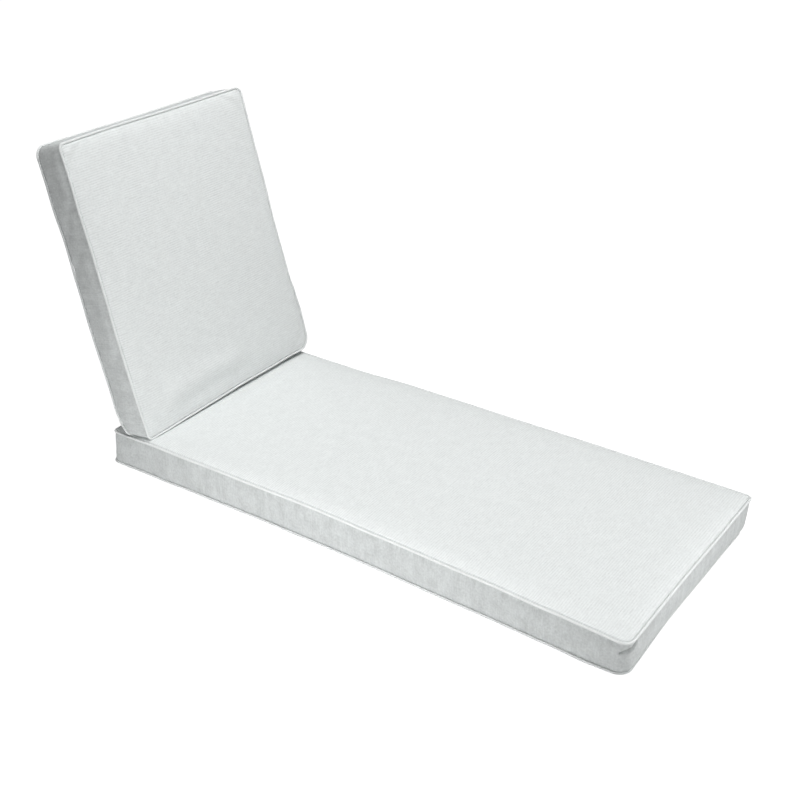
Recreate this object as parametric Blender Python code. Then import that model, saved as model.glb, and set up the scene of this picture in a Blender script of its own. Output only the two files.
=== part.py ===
"""Sun lounger cushion: a long boxed seat cushion, and a shorter boxed back cushion leaning on its head end.

Each cushion is one filled solid with crowned panels, drawn-in sides and a boxing band. A round piping runs
along both seams of each boxing band and is a solid of its own. Units are metres, with +Z up.
The seat runs along Y from its foot (low Y) to its head (high Y). Its near long side faces -X.
The tables are in millimetres, because they hold the small unevenness of the sewing.
"""
import math
from collections import namedtuple

import bmesh
import bpy
from mathutils import Matrix, Vector

# Driving dimensions

MM = 0.001
SEAT_WIDTH = 0.584
SEAT_LENGTH = 1.303
BACK_WIDTH = 0.568
BACK_HEIGHT = 0.671
SEAM_SPACING = 0.080
PIPING_RADIUS = 0.0026
PIPING_FLOAT = 0.001
SEAT_FLOOR_SEAM = PIPING_RADIUS + PIPING_FLOAT

# The back's front lower seam, measured from the seat's foot and from the floor, and how far the back leans

BACK_SHIFT_X = -0.004
BACK_SEAM_Y = 1.1954
BACK_SEAM_Z = 0.0931
BACK_LEAN = math.radians(15.5)

# Panels: the fast rise beside a seam, the slow crown behind it, and the reach of each

SHOULDER_RISE = 0.0055
SHOULDER_REACH = 0.009
CROWN_RISE = 0.0055
CROWN_REACH = 0.080
BASE_FALL = 0.012
BASE_REACH = 0.010
PRESSED_RISE = 0.0055

# Grid lines of a panel: distances in from each side, then an even spacing across the middle

EDGE_LINES = (0.0, 0.003, 0.008, 0.016, 0.032, 0.065)
MIDDLE_SPACING = 0.078

HALF_ARC = 1.0 - math.cos(math.radians(45.0))
SMALLEST_RADIUS = 0.001
CUT_TOLERANCE = 1e-7
PIPING_ROUNDNESS = 2

Corner = namedtuple("Corner", "radius out_x out_y up tuck")
Wave = namedtuple("Wave", "station out up tuck belly")
Seam = namedtuple("Seam", "near_low far_low far_high near_high low far high near reach")
Row = namedtuple("Row", "share inset above tuck belly")
Press = namedtuple("Press", "station amount")
Drift = namedtuple("Drift", "shift tuck belly")
Cushion = namedtuple("Cushion", "width length bottom top rise fall press")

# Every seam is a loop of four corners and four sides. A corner has its radius and how far it stands out
# along X and Y, lies above the seam's level and is tucked under. A side's wave rows run from the low or
# near end (station 0) to the high or far end (station 1), with the same measures and the wall's belly.

SEAT_TOP_SEAM = Seam(
    near_low=Corner(radius=20, out_x=8, out_y=0, up=-4, tuck=0),
    far_low=Corner(radius=12, out_x=-4, out_y=1, up=-2, tuck=0),
    far_high=Corner(radius=14, out_x=-19, out_y=0, up=-7, tuck=0),
    near_high=Corner(radius=12, out_x=4, out_y=-1, up=-3, tuck=0),
    low=(
        Wave(station=0.35, out=0, up=-0.5, tuck=0, belly=0),
        Wave(station=0.75, out=1.2, up=-1.5, tuck=0, belly=0),
    ),
    far=(
        Wave(station=0.25, out=-7, up=-1, tuck=0, belly=1),
        Wave(station=0.50, out=-12, up=-1, tuck=0, belly=1),
        Wave(station=0.65, out=-13, up=-2, tuck=0, belly=1),
        Wave(station=0.80, out=-18, up=-6, tuck=0, belly=1),
    ),
    high=(
        Wave(station=0.50, out=-3, up=-2, tuck=0, belly=1),
    ),
    near=(
        Wave(station=0.06, out=6, up=-3.2, tuck=0, belly=0),
        Wave(station=0.12, out=4.5, up=-2, tuck=0, belly=0),
        Wave(station=0.25, out=0.5, up=0, tuck=0, belly=0),
        Wave(station=0.42, out=-2.5, up=1, tuck=0, belly=0),
        Wave(station=0.56, out=-4, up=2.5, tuck=0, belly=0),
        Wave(station=0.72, out=-1, up=1, tuck=0, belly=0),
        Wave(station=0.88, out=2, up=-0.5, tuck=0, belly=0),
    ),
    reach=0.060,
)

SEAT_BOTTOM_SEAM = Seam(
    near_low=Corner(radius=26, out_x=8.5, out_y=1, up=0, tuck=5),
    far_low=Corner(radius=28, out_x=-6, out_y=1, up=0, tuck=7),
    far_high=Corner(radius=16, out_x=-12, out_y=0, up=0, tuck=0),
    near_high=Corner(radius=16, out_x=9, out_y=5, up=0, tuck=0),
    low=(
        Wave(station=0.35, out=-1.5, up=0, tuck=8, belly=0.5),
        Wave(station=0.75, out=0.5, up=0, tuck=8, belly=0.5),
    ),
    far=(
        Wave(station=0.25, out=-7, up=0, tuck=0, belly=1),
        Wave(station=0.50, out=-11, up=0, tuck=0, belly=1),
        Wave(station=0.80, out=-13, up=0, tuck=0, belly=1),
    ),
    high=(
        Wave(station=0.50, out=-2, up=0, tuck=0, belly=1),
    ),
    near=(
        Wave(station=0.06, out=6.5, up=0, tuck=0, belly=0),
        Wave(station=0.12, out=3.5, up=0, tuck=0, belly=0),
        Wave(station=0.25, out=0.5, up=0.3, tuck=0, belly=0),
        Wave(station=0.50, out=-3, up=0.6, tuck=0, belly=0),
        Wave(station=0.65, out=-2, up=0.6, tuck=0, belly=0),
        Wave(station=0.80, out=2, up=0.3, tuck=0, belly=0),
        Wave(station=0.90, out=6, up=0, tuck=0, belly=0),
    ),
    reach=0.060,
)

BACK_FRONT_SEAM = Seam(
    near_low=Corner(radius=10, out_x=-1, out_y=4.5, up=0, tuck=0),
    far_low=Corner(radius=34, out_x=11, out_y=0, up=0, tuck=0),
    far_high=Corner(radius=18, out_x=-1, out_y=0, up=0, tuck=0),
    near_high=Corner(radius=12, out_x=-1, out_y=0, up=0, tuck=0),
    low=(
        Wave(station=0.10, out=4.2, up=0, tuck=0, belly=1),
        Wave(station=0.25, out=2, up=0, tuck=0, belly=1.5),
        Wave(station=0.40, out=0.6, up=0, tuck=0, belly=1.5),
        Wave(station=0.57, out=-1.8, up=0, tuck=0, belly=1.5),
        Wave(station=0.73, out=-1.2, up=0, tuck=0, belly=1.5),
        Wave(station=0.90, out=-2.2, up=0, tuck=0, belly=1),
    ),
    far=(
        Wave(station=0.13, out=12, up=0, tuck=0, belly=1),
        Wave(station=0.20, out=8.5, up=0, tuck=0, belly=1),
        Wave(station=0.29, out=2, up=0, tuck=0, belly=1),
        Wave(station=0.50, out=-1.5, up=0, tuck=0, belly=1),
        Wave(station=0.62, out=0, up=0, tuck=0, belly=1),
        Wave(station=0.85, out=-1, up=0, tuck=0, belly=1),
    ),
    high=(
        Wave(station=0.25, out=1.5, up=0, tuck=0, belly=0),
        Wave(station=0.60, out=-0.5, up=0, tuck=0, belly=0),
    ),
    near=(
        Wave(station=0.18, out=1.6, up=0, tuck=0, belly=0),
        Wave(station=0.36, out=2.2, up=0, tuck=0, belly=0),
        Wave(station=0.50, out=0, up=0, tuck=0, belly=0),
        Wave(station=0.65, out=-1.3, up=0, tuck=0, belly=0),
        Wave(station=0.78, out=-0.4, up=0, tuck=0, belly=0),
        Wave(station=0.90, out=-2, up=0, tuck=0, belly=0),
    ),
    reach=0.060,
)

BACK_REAR_SEAM = Seam(
    near_low=Corner(radius=14, out_x=12, out_y=-8.5, up=27, tuck=0),
    far_low=Corner(radius=20, out_x=9, out_y=-10, up=26, tuck=0),
    far_high=Corner(radius=22, out_x=-1, out_y=0, up=0, tuck=0),
    near_high=Corner(radius=24, out_x=-1, out_y=0, up=0, tuck=0),
    low=(
        Wave(station=0.06, out=-10.2, up=27, tuck=0, belly=1.5),
        Wave(station=0.25, out=-10.5, up=27, tuck=0, belly=1.5),
        Wave(station=0.75, out=-10.5, up=27, tuck=0, belly=1.5),
    ),
    far=(
        Wave(station=0.05, out=6, up=10, tuck=0, belly=0),
        Wave(station=0.11, out=4, up=1, tuck=0, belly=0),
        Wave(station=0.20, out=2, up=0, tuck=0, belly=1),
        Wave(station=0.50, out=-2, up=0, tuck=0, belly=1),
        Wave(station=0.80, out=-1, up=0, tuck=0, belly=1),
    ),
    high=(
        Wave(station=0.50, out=-1, up=0, tuck=0, belly=0),
    ),
    near=(
        Wave(station=0.05, out=6, up=9, tuck=0, belly=0),
        Wave(station=0.10, out=3, up=1, tuck=0, belly=0),
        Wave(station=0.16, out=1, up=0, tuck=0, belly=0),
        Wave(station=0.38, out=2.4, up=0, tuck=0, belly=0),
        Wave(station=0.55, out=0, up=0, tuck=0, belly=0),
        Wave(station=0.70, out=-2.5, up=0, tuck=0, belly=0),
        Wave(station=0.80, out=0, up=0, tuck=0, belly=0),
        Wave(station=0.92, out=-1.5, up=0, tuck=0, belly=0),
    ),
    reach=0.018,
)

# Section of the boxing band from the lower or rear seam (share 0) to the upper or front seam (share 1)

BOXING_ROWS = (
    Row(share=0.00, inset=2.6, above=2.1, tuck=1.00, belly=0),
    Row(share=0.00, inset=0.6, above=3.7, tuck=0.75, belly=0),
    Row(share=0.11, inset=0.2, above=0.0, tuck=0.12, belly=0.3),
    Row(share=0.30, inset=0.0, above=0.0, tuck=0.00, belly=0.9),
    Row(share=0.50, inset=0.0, above=0.0, tuck=0.00, belly=1.0),
    Row(share=0.70, inset=0.0, above=0.0, tuck=0.00, belly=0.9),
    Row(share=0.89, inset=0.2, above=0.0, tuck=0.00, belly=0.3),
    Row(share=1.00, inset=0.6, above=-3.6, tuck=0.00, belly=0),
    Row(share=1.00, inset=2.5, above=-2.1, tuck=0.00, belly=0),
)
PIPING_AT_BOTTOM = Row(share=0.0, inset=0.0, above=0.0, tuck=1.0, belly=0)
PIPING_AT_TOP = Row(share=1.0, inset=0.0, above=0.0, tuck=0.0, belly=0)

# How far the seat's crown is pressed flat by the back, along the seat from foot to head

SEAT_PRESS = (
    Press(station=0.00, amount=0.0),
    Press(station=0.58, amount=0.0),
    Press(station=0.78, amount=0.7),
    Press(station=0.89, amount=1.0),
    Press(station=1.00, amount=1.0),
)

SEAT = Cushion(SEAT_WIDTH, SEAT_LENGTH, SEAT_BOTTOM_SEAM, SEAT_TOP_SEAM, 1.0, False, SEAT_PRESS)
BACK = Cushion(BACK_WIDTH, BACK_HEIGHT, BACK_REAR_SEAM, BACK_FRONT_SEAM, 0.8, True, ())

# Colours read from the photo, as linear RGB

PANEL_COLOUR = (0.80, 0.82, 0.81)
BACK_COLOUR = (0.76, 0.78, 0.775)
PIPING_COLOUR = (0.84, 0.86, 0.85)
CLOTH_ROUGHNESS = 0.85


def smooth(t):
    return t * t * (3.0 - 2.0 * t)


def between(rows, station):
    """Ease from one (station, values) row to the next."""
    for (start, low), (end, high) in zip(rows, rows[1:]):
        if station <= end:
            t = smooth((station - start) / (end - start))
            return [a + (b - a) * t for a, b in zip(low, high)]
    return list(rows[-1][1])


def grid_lines(length):
    """Places of the grid lines across a side, as shares of its length."""
    last = EDGE_LINES[-1]
    count = round((length - 2.0 * last) / MIDDLE_SPACING)
    spacing = (length - 2.0 * last) / count
    middle = [last + spacing * i for i in range(1, count)]
    mirrored = [length - line for line in reversed(EDGE_LINES)]
    return [line / length for line in (*EDGE_LINES, *middle, *mirrored)]


def side_corners(seam, side):
    """The two corners that a side runs between, each with its signs along X and Y."""
    return {
        "low": ((seam.near_low, -1, -1), (seam.far_low, 1, -1)),
        "high": ((seam.near_high, -1, 1), (seam.far_high, 1, 1)),
        "near": ((seam.near_low, -1, -1), (seam.near_high, -1, 1)),
        "far": ((seam.far_low, 1, -1), (seam.far_high, 1, 1)),
    }[side]


OUTWARD = {"low": (0, -1), "high": (0, 1), "near": (-1, 0), "far": (1, 0)}


def corner_values(corner, sign_x, sign_y):
    shift = (sign_x * corner.out_x, sign_y * corner.out_y, corner.up)
    tuck = (-sign_x * corner.tuck, -sign_y * corner.tuck, 0)
    return [value * MM for value in (*shift, *tuck, 0, 0)]


def wave_values(wave, side):
    x, y = OUTWARD[side]
    shift = (x * wave.out, y * wave.out, wave.up)
    tuck = (-x * wave.tuck, -y * wave.tuck, 0)
    return [value * MM for value in (*shift, *tuck, x * wave.belly, y * wave.belly)]


def drift(seam, side, station):
    """How far a side's seam strays from the plain outline, with its tuck and the wall's belly."""
    first, last = side_corners(seam, side)
    rows = [(0.0, corner_values(*first))]
    rows += [(wave.station, wave_values(wave, side)) for wave in getattr(seam, side)]
    rows += [(1.0, corner_values(*last))]
    values = between(rows, station)
    return Drift(Vector(values[0:3]), Vector(values[3:6]), Vector((*values[6:8], 0.0)))


def corner_dip(along, half, radius):
    """How far the outline falls back from its side where the corner's arc begins."""
    past = along - (half - radius)
    if past <= 0.0:
        return 0.0
    return radius - math.sqrt(max(radius ** 2 - past ** 2, 0.0))


def plain_outline(cushion, seam, side, station, inset):
    """A point on the rounded rectangle, from the middle of one corner's arc to the next one's."""
    half_width = cushion.width / 2.0 - inset
    half_length = cushion.length / 2.0 - inset
    radii = [max(corner.radius * MM - inset, SMALLEST_RADIUS) for corner, _, _ in side_corners(seam, side)]
    x_sign, y_sign = OUTWARD[side]
    half = half_width if x_sign == 0 else half_length
    start = -half + HALF_ARC * radii[0]
    end = half - HALF_ARC * radii[1]
    along = start + (end - start) * station
    dip = max(corner_dip(-along, half, radii[0]), corner_dip(along, half, radii[1]))
    if x_sign == 0:
        return Vector((along, cushion.length / 2.0 + y_sign * (half_length - dip), 0.0))
    return Vector((x_sign * (half_width - dip), cushion.length / 2.0 + along, 0.0))


def rim_base(cushion, row, side, station):
    bottom = plain_outline(cushion, cushion.bottom, side, station, row.inset * MM)
    top = plain_outline(cushion, cushion.top, side, station, row.inset * MM)
    level = Vector((0.0, 0.0, SEAM_SPACING * row.share + row.above * MM))
    return bottom.lerp(top, row.share) + level


def rim_drift(cushion, row, side, station):
    bottom = drift(cushion.bottom, side, station)
    top = drift(cushion.top, side, station)
    shift = bottom.shift.lerp(top.shift, row.share)
    belly = bottom.belly.lerp(top.belly, row.share)
    return shift + bottom.tuck * row.tuck + belly * row.belly


def rim_point(cushion, row, side, station):
    return rim_base(cushion, row, side, station) + rim_drift(cushion, row, side, station)


def fade(distance, reach):
    return math.exp(-distance / reach)


def sheet_base(cushion, row, u, v):
    """The plain outline filled in between its four sides, as a Coons patch."""
    low, high = (rim_base(cushion, row, side, u) for side in ("low", "high"))
    near, far = (rim_base(cushion, row, side, v) for side in ("near", "far"))
    corners = [rim_base(cushion, row, side, end) for side in ("low", "high") for end in (0.0, 1.0)]
    bottom_row = corners[0].lerp(corners[1], u)
    top_row = corners[2].lerp(corners[3], u)
    return low.lerp(high, v) + near.lerp(far, u) - bottom_row.lerp(top_row, v)


def sheet_drift(cushion, row, u, v):
    """The sides' straying, fading into the panel within the seam's reach."""
    reach = cushion.bottom.reach + (cushion.top.reach - cushion.bottom.reach) * row.share
    across = {"near": fade(u * cushion.width, reach), "far": fade((1.0 - u) * cushion.width, reach)}
    along = {"low": fade(v * cushion.length, reach), "high": fade((1.0 - v) * cushion.length, reach)}
    total = Vector((0.0, 0.0, 0.0))
    for side, weight in along.items():
        total += rim_drift(cushion, row, side, u) * weight
        total -= rim_drift(cushion, row, side, 0.0) * weight * across["near"]
        total -= rim_drift(cushion, row, side, 1.0) * weight * across["far"]
    for side, weight in across.items():
        total += rim_drift(cushion, row, side, v) * weight
    return total


def panel_rise(cushion, u, v):
    """Height of the panel above its seam: a fast shoulder and a slow crown."""
    across = min(u, 1.0 - u) * cushion.width
    along = min(v, 1.0 - v) * cushion.length
    shoulder = (1.0 - fade(across, SHOULDER_REACH)) * (1.0 - fade(along, SHOULDER_REACH))
    crown = (1.0 - fade(across, CROWN_REACH)) * (1.0 - fade(along, CROWN_REACH))
    return cushion.rise * (SHOULDER_RISE * shoulder + CROWN_RISE * crown)


def front_lift(cushion, u, v):
    """Rise of the top or front panel, pressed flat where the back stands on it."""
    rise = panel_rise(cushion, u, v)
    if not cushion.press:
        return rise
    amount = between([(press.station, [press.amount]) for press in cushion.press], v)[0]
    return rise + (min(rise, PRESSED_RISE) - rise) * amount


def base_fall(cushion, u, v):
    across = min(u, 1.0 - u) * cushion.width
    along = min(v, 1.0 - v) * cushion.length
    return BASE_FALL * (1.0 - fade(min(across, along), BASE_REACH))


def cushion_point(cushion, u, v, w):
    """Move one point of the gridded block to its place on the cushion."""
    row = BOXING_ROWS[round(w * (len(BOXING_ROWS) - 1))]
    point = sheet_base(cushion, row, u, v) + sheet_drift(cushion, row, u, v)
    if row is BOXING_ROWS[-1]:
        point.z += front_lift(cushion, u, v)
    elif row is BOXING_ROWS[0] and cushion.fall:
        point.z -= panel_rise(cushion, u, v)
    elif row is BOXING_ROWS[0]:
        point.z = max(point.z - base_fall(cushion, u, v), -SEAT_FLOOR_SEAM)
    return point


def gridded_block(lines_x, lines_y, lines_z):
    """A unit block cut along every grid line, so that a point's place is its share across each way."""
    mesh = bmesh.new()
    bmesh.ops.create_cube(mesh, size=1.0, matrix=Matrix.Translation((0.5, 0.5, 0.5)))
    for axis, lines in enumerate((lines_x, lines_y, lines_z)):
        normal = Vector((0.0, 0.0, 0.0))
        normal[axis] = 1.0
        for line in lines[1:-1]:
            geometry = mesh.verts[:] + mesh.edges[:] + mesh.faces[:]
            place = normal * line
            bmesh.ops.bisect_plane(mesh, geom=geometry, dist=CUT_TOLERANCE, plane_co=place, plane_no=normal)
    return mesh


def cloth(name, colour):
    material = bpy.data.materials.new(name)
    material.use_nodes = True
    shader = material.node_tree.nodes["Principled BSDF"]
    shader.inputs["Base Color"].default_value = (*colour, 1.0)
    shader.inputs["Roughness"].default_value = CLOTH_ROUGHNESS
    shader.inputs["Metallic"].default_value = 0.0
    return material


def add_cushion(name, cushion, parent, collection, colour):
    rows = [i / (len(BOXING_ROWS) - 1) for i in range(len(BOXING_ROWS))]
    mesh = gridded_block(grid_lines(cushion.width), grid_lines(cushion.length), rows)
    for vertex in mesh.verts:
        vertex.co = cushion_point(cushion, *vertex.co)
    data = bpy.data.meshes.new(name)
    mesh.to_mesh(data)
    mesh.free()
    data.shade_smooth()
    obj = bpy.data.objects.new(name, data)
    obj.parent = parent
    data.materials.append(cloth(name + "_cloth", colour))
    collection.objects.link(obj)
    return obj


def seam_path(cushion, row):
    """The piping's points, once round the seam on the same grid lines as the cushion."""
    across = grid_lines(cushion.width)
    along = grid_lines(cushion.length)
    path = [rim_point(cushion, row, "low", station) for station in across[:-1]]
    path += [rim_point(cushion, row, "far", station) for station in along[:-1]]
    path += [rim_point(cushion, row, "high", station) for station in reversed(across[1:])]
    path += [rim_point(cushion, row, "near", station) for station in reversed(along[1:])]
    return path


def add_piping(name, cushion, row, parent, collection):
    curve = bpy.data.curves.new(name, "CURVE")
    curve.dimensions = "3D"
    curve.bevel_depth = PIPING_RADIUS
    curve.bevel_resolution = PIPING_ROUNDNESS
    path = seam_path(cushion, row)
    spline = curve.splines.new("POLY")
    spline.points.add(len(path) - 1)
    for point, place in zip(spline.points, path):
        point.co = (*place, 1.0)
    spline.use_cyclic_u = True
    curve.materials.append(cloth(name + "_cloth", PIPING_COLOUR))
    obj = bpy.data.objects.new(name, curve)
    obj.parent = parent
    collection.objects.link(obj)
    return obj


def add_frame(name, collection, parent=None):
    frame = bpy.data.objects.new(name, None)
    frame.parent = parent
    collection.objects.link(frame)
    return frame


def footprint_shift(objects):
    """The move that puts the origin at the bottom centre of everything built."""
    bpy.context.view_layer.update()
    depsgraph = bpy.context.evaluated_depsgraph_get()
    points = []
    for obj in objects:
        evaluated = obj.evaluated_get(depsgraph)
        points += [obj.matrix_world @ vertex.co for vertex in evaluated.to_mesh().vertices]
        evaluated.to_mesh_clear()
    lows = [min(point[axis] for point in points) for axis in range(3)]
    highs = [max(point[axis] for point in points) for axis in range(3)]
    return Vector((-(lows[0] + highs[0]) / 2.0, -(lows[1] + highs[1]) / 2.0, -lows[2]))


def place_back(frame):
    """Stand the back's frame on the seat, turned so that its front panel faces the foot and leans back."""
    rear = Vector((0.0, math.cos(BACK_LEAN), -math.sin(BACK_LEAN)))
    frame.location = Vector((BACK_SHIFT_X, BACK_SEAM_Y, BACK_SEAM_Z)) + rear * SEAM_SPACING
    frame.rotation_euler = (math.radians(90.0) - BACK_LEAN, 0.0, 0.0)


def build():
    for obj in list(bpy.data.objects):
        bpy.data.objects.remove(obj, do_unlink=True)
    collection = bpy.data.collections.new("sun_lounger_cushion")
    bpy.context.scene.collection.children.link(collection)
    whole = add_frame("whole_frame", collection)
    seat_frame = add_frame("seat_frame", collection, whole)
    seat_frame.location.z = SEAT_FLOOR_SEAM
    back_frame = add_frame("back_frame", collection, whole)
    place_back(back_frame)
    parts = [
        add_cushion("seat_cushion", SEAT, seat_frame, collection, PANEL_COLOUR),
        add_piping("seat_top_piping", SEAT, PIPING_AT_TOP, seat_frame, collection),
        add_piping("seat_bottom_piping", SEAT, PIPING_AT_BOTTOM, seat_frame, collection),
        add_cushion("back_cushion", BACK, back_frame, collection, BACK_COLOUR),
        add_piping("back_front_piping", BACK, PIPING_AT_TOP, back_frame, collection),
        add_piping("back_rear_piping", BACK, PIPING_AT_BOTTOM, back_frame, collection),
    ]
    whole.location = footprint_shift(parts)


build()
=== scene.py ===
# %% [markdown]
# # A piped sun lounger cushion, dressed for the studio
#
# The object is two boxed cushions: a long seat that lies flat, and a shorter back that stands on its head
# end and leans away. Boxed means that a top and a bottom panel are joined by an upright band of cloth, and
# both seams of the band carry a piping, a cord wrapped in a strip of the same cloth.
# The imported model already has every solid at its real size. This script gives each one its cloth: finer
# shapes, sewn seams, folds, a weave, and then the floor, the lights and the camera.
# Everything is in metres with +Z up. The seat runs along +Y from its foot to its head, and its near long
# side faces -X.

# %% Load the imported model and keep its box
import math
from collections import namedtuple

import bpy
import numpy as np
from mathutils import Matrix, Vector


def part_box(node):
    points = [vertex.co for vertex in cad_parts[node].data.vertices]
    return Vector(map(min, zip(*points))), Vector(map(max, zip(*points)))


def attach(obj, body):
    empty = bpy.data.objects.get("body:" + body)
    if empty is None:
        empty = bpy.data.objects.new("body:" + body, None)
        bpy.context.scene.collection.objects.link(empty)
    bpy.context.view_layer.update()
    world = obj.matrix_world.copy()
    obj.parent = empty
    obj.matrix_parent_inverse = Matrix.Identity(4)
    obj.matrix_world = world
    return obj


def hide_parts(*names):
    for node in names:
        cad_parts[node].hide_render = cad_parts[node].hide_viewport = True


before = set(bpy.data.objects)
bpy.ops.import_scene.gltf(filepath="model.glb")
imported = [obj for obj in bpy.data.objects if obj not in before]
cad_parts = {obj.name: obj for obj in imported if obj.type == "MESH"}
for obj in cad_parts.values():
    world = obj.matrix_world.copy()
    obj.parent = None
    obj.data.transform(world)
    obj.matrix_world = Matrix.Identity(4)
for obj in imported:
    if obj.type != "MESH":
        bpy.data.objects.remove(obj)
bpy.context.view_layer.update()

scene = bpy.context.scene
MM = 0.001
print("nodes", sorted(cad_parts))

# %% [markdown]
# ## The camera comes first
#
# A product photographer stands at the foot end, a little to the near side, and looks down on the seat.
# The place was found by fitting a camera to the straight piping lines, and it is given here as a place,
# three turns and a lens, so that every later decision can be checked from the same view.

# %% Camera
CAMERA_PLACE = Vector((-1.9568, -1.3763, 1.5369))
CAMERA_AZIMUTH = math.radians(-55.304)
CAMERA_ELEVATION = math.radians(28.916)
CAMERA_ROLL = math.radians(0.346)
CAMERA_LENS_MM = 56.36
SENSOR_MM = 36.0
FARTHEST_SEEN = 50.0

ahead = Vector((
    -math.sin(CAMERA_AZIMUTH) * math.cos(CAMERA_ELEVATION),
    math.cos(CAMERA_AZIMUTH) * math.cos(CAMERA_ELEVATION),
    -math.sin(CAMERA_ELEVATION),
))
level_right = ahead.cross(Vector((0.0, 0.0, 1.0))).normalized()
level_up = level_right.cross(ahead)
right = level_right * math.cos(CAMERA_ROLL) + level_up * math.sin(CAMERA_ROLL)
up = level_up * math.cos(CAMERA_ROLL) - level_right * math.sin(CAMERA_ROLL)

bpy.ops.object.camera_add(location=CAMERA_PLACE)
camera = bpy.context.object
camera.name = "photo_camera"
camera.rotation_mode = "QUATERNION"
camera.rotation_quaternion = Matrix((right, up, -ahead)).transposed().to_quaternion()
camera.data.sensor_width = SENSOR_MM
camera.data.lens = CAMERA_LENS_MM
camera.data.clip_end = FARTHEST_SEEN
scene.camera = camera
print("camera at", [round(c, 3) for c in camera.location])

# %% [markdown]
# ## Where the seams run
#
# A cushion is drawn by its seams. Each seam starts as a rounded rectangle, and then strays by a few
# millimetres, because cloth is pulled in between the corners and no filling is quite even.
# One way is to sculpt that by eye. Here it is a short table instead: four corners and a few rows along each
# side, in millimetres, the same tables that the solids were made from. `out` is away from the middle, `up`
# is along the cushion's thickness, `tuck` is how far the lower seam is rolled under, and `belly` is how far
# the band bulges.

# %% Seam tables
Corner = namedtuple("Corner", "radius out_x out_y up tuck")
Wave = namedtuple("Wave", "station out up tuck belly")
Seam = namedtuple("Seam", "near_low far_low far_high near_high low far high near reach")

SEAT_TOP_SEAM = Seam(
    near_low=Corner(radius=20, out_x=8, out_y=0, up=-4, tuck=0),
    far_low=Corner(radius=12, out_x=-4, out_y=1, up=-2, tuck=0),
    far_high=Corner(radius=14, out_x=-19, out_y=0, up=-7, tuck=0),
    near_high=Corner(radius=12, out_x=4, out_y=-1, up=-3, tuck=0),
    low=(Wave(0.35, 0, -0.5, 0, 0), Wave(0.75, 1.2, -1.5, 0, 0)),
    far=(
        Wave(0.25, -7, -1, 0, 1),
        Wave(0.50, -12, -1, 0, 1),
        Wave(0.65, -13, -2, 0, 1),
        Wave(0.80, -18, -6, 0, 1),
    ),
    high=(Wave(0.50, -3, -2, 0, 1),),
    near=(
        Wave(0.06, 6, -3.2, 0, 0),
        Wave(0.12, 4.5, -2, 0, 0),
        Wave(0.25, 0.5, 0, 0, 0),
        Wave(0.42, -2.5, 1, 0, 0),
        Wave(0.56, -4, 2.5, 0, 0),
        Wave(0.72, -1, 1, 0, 0),
        Wave(0.88, 2, -0.5, 0, 0),
    ),
    reach=0.060,
)
SEAT_BOTTOM_SEAM = Seam(
    near_low=Corner(radius=26, out_x=8.5, out_y=1, up=0, tuck=5),
    far_low=Corner(radius=28, out_x=-6, out_y=1, up=0, tuck=7),
    far_high=Corner(radius=16, out_x=-12, out_y=0, up=0, tuck=0),
    near_high=Corner(radius=16, out_x=9, out_y=5, up=0, tuck=0),
    low=(Wave(0.35, -1.5, 0, 8, 0.5), Wave(0.75, 0.5, 0, 8, 0.5)),
    far=(Wave(0.25, -7, 0, 0, 1), Wave(0.50, -11, 0, 0, 1), Wave(0.80, -13, 0, 0, 1)),
    high=(Wave(0.50, -2, 0, 0, 1),),
    near=(
        Wave(0.06, 6.5, 0, 0, 0),
        Wave(0.12, 3.5, 0, 0, 0),
        Wave(0.25, 0.5, 0.3, 0, 0),
        Wave(0.50, -3, 0.6, 0, 0),
        Wave(0.65, -2, 0.6, 0, 0),
        Wave(0.80, 2, 0.3, 0, 0),
        Wave(0.90, 6, 0, 0, 0),
    ),
    reach=0.060,
)
BACK_FRONT_SEAM = Seam(
    near_low=Corner(radius=10, out_x=-1, out_y=4.5, up=0, tuck=0),
    far_low=Corner(radius=34, out_x=11, out_y=0, up=0, tuck=0),
    far_high=Corner(radius=18, out_x=-1, out_y=0, up=0, tuck=0),
    near_high=Corner(radius=12, out_x=-1, out_y=0, up=0, tuck=0),
    low=(
        Wave(0.10, 4.2, 0, 0, 1),
        Wave(0.25, 2, 0, 0, 1.5),
        Wave(0.40, 0.6, 0, 0, 1.5),
        Wave(0.57, -1.8, 0, 0, 1.5),
        Wave(0.73, -1.2, 0, 0, 1.5),
        Wave(0.90, -2.2, 0, 0, 1),
    ),
    far=(
        Wave(0.13, 12, 0, 0, 1),
        Wave(0.20, 8.5, 0, 0, 1),
        Wave(0.29, 2, 0, 0, 1),
        Wave(0.50, -1.5, 0, 0, 1),
        Wave(0.62, 0, 0, 0, 1),
        Wave(0.85, -1, 0, 0, 1),
    ),
    high=(Wave(0.25, 1.5, 0, 0, 0), Wave(0.60, -0.5, 0, 0, 0)),
    near=(
        Wave(0.18, 1.6, 0, 0, 0),
        Wave(0.36, 2.2, 0, 0, 0),
        Wave(0.50, 0, 0, 0, 0),
        Wave(0.65, -1.3, 0, 0, 0),
        Wave(0.78, -0.4, 0, 0, 0),
        Wave(0.90, -2, 0, 0, 0),
    ),
    reach=0.060,
)
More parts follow.
